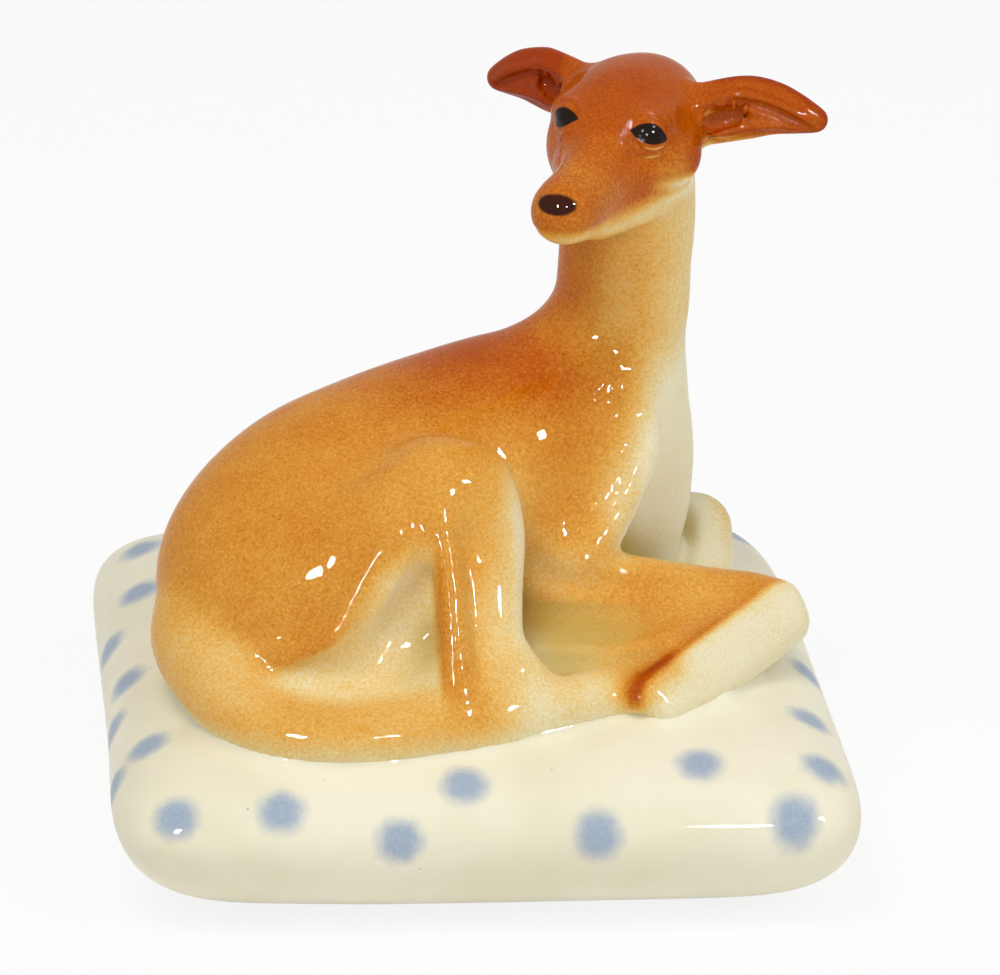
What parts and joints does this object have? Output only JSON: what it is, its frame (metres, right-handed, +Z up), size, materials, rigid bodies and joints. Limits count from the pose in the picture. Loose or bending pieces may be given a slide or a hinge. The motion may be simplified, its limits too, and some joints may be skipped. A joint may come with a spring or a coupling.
{
  "type": "dog figurine",
  "caption": "Glazed porcelain hound lying on a square pillow, head turned to the side, ears out, one fore paw folded back and the tail curled round its hind foot.",
  "frame": {"origin": "on the table, under the middle of the pillow", "axes": "+X along the hound's body from rump to chest, +Y away from the side that the head is turned to, +Z up"},
  "size_m": [0.109, 0.1192, 0.113],
  "materials": {
    "white_glaze": "clear gloss glaze over white porcelain with soft airbrushed blue dots",
    "fawn_glaze": "clear gloss glaze over fawn airbrush that fades to white",
    "russet_glaze": "clear gloss glaze over darker russet airbrush"
  },
  "bodies": {
    "root": {"cushion": "white_glaze", "trunk": "fawn_glaze", "head": "russet_glaze", "ear_right": "russet_glaze", "ear_left": "russet_glaze", "hind_leg_right": "fawn_glaze", "hind_leg_left": "fawn_glaze", "foreleg_right": "fawn_glaze", "foreleg_left": "fawn_glaze", "tail": "fawn_glaze"}
  },
  "joints": []
}
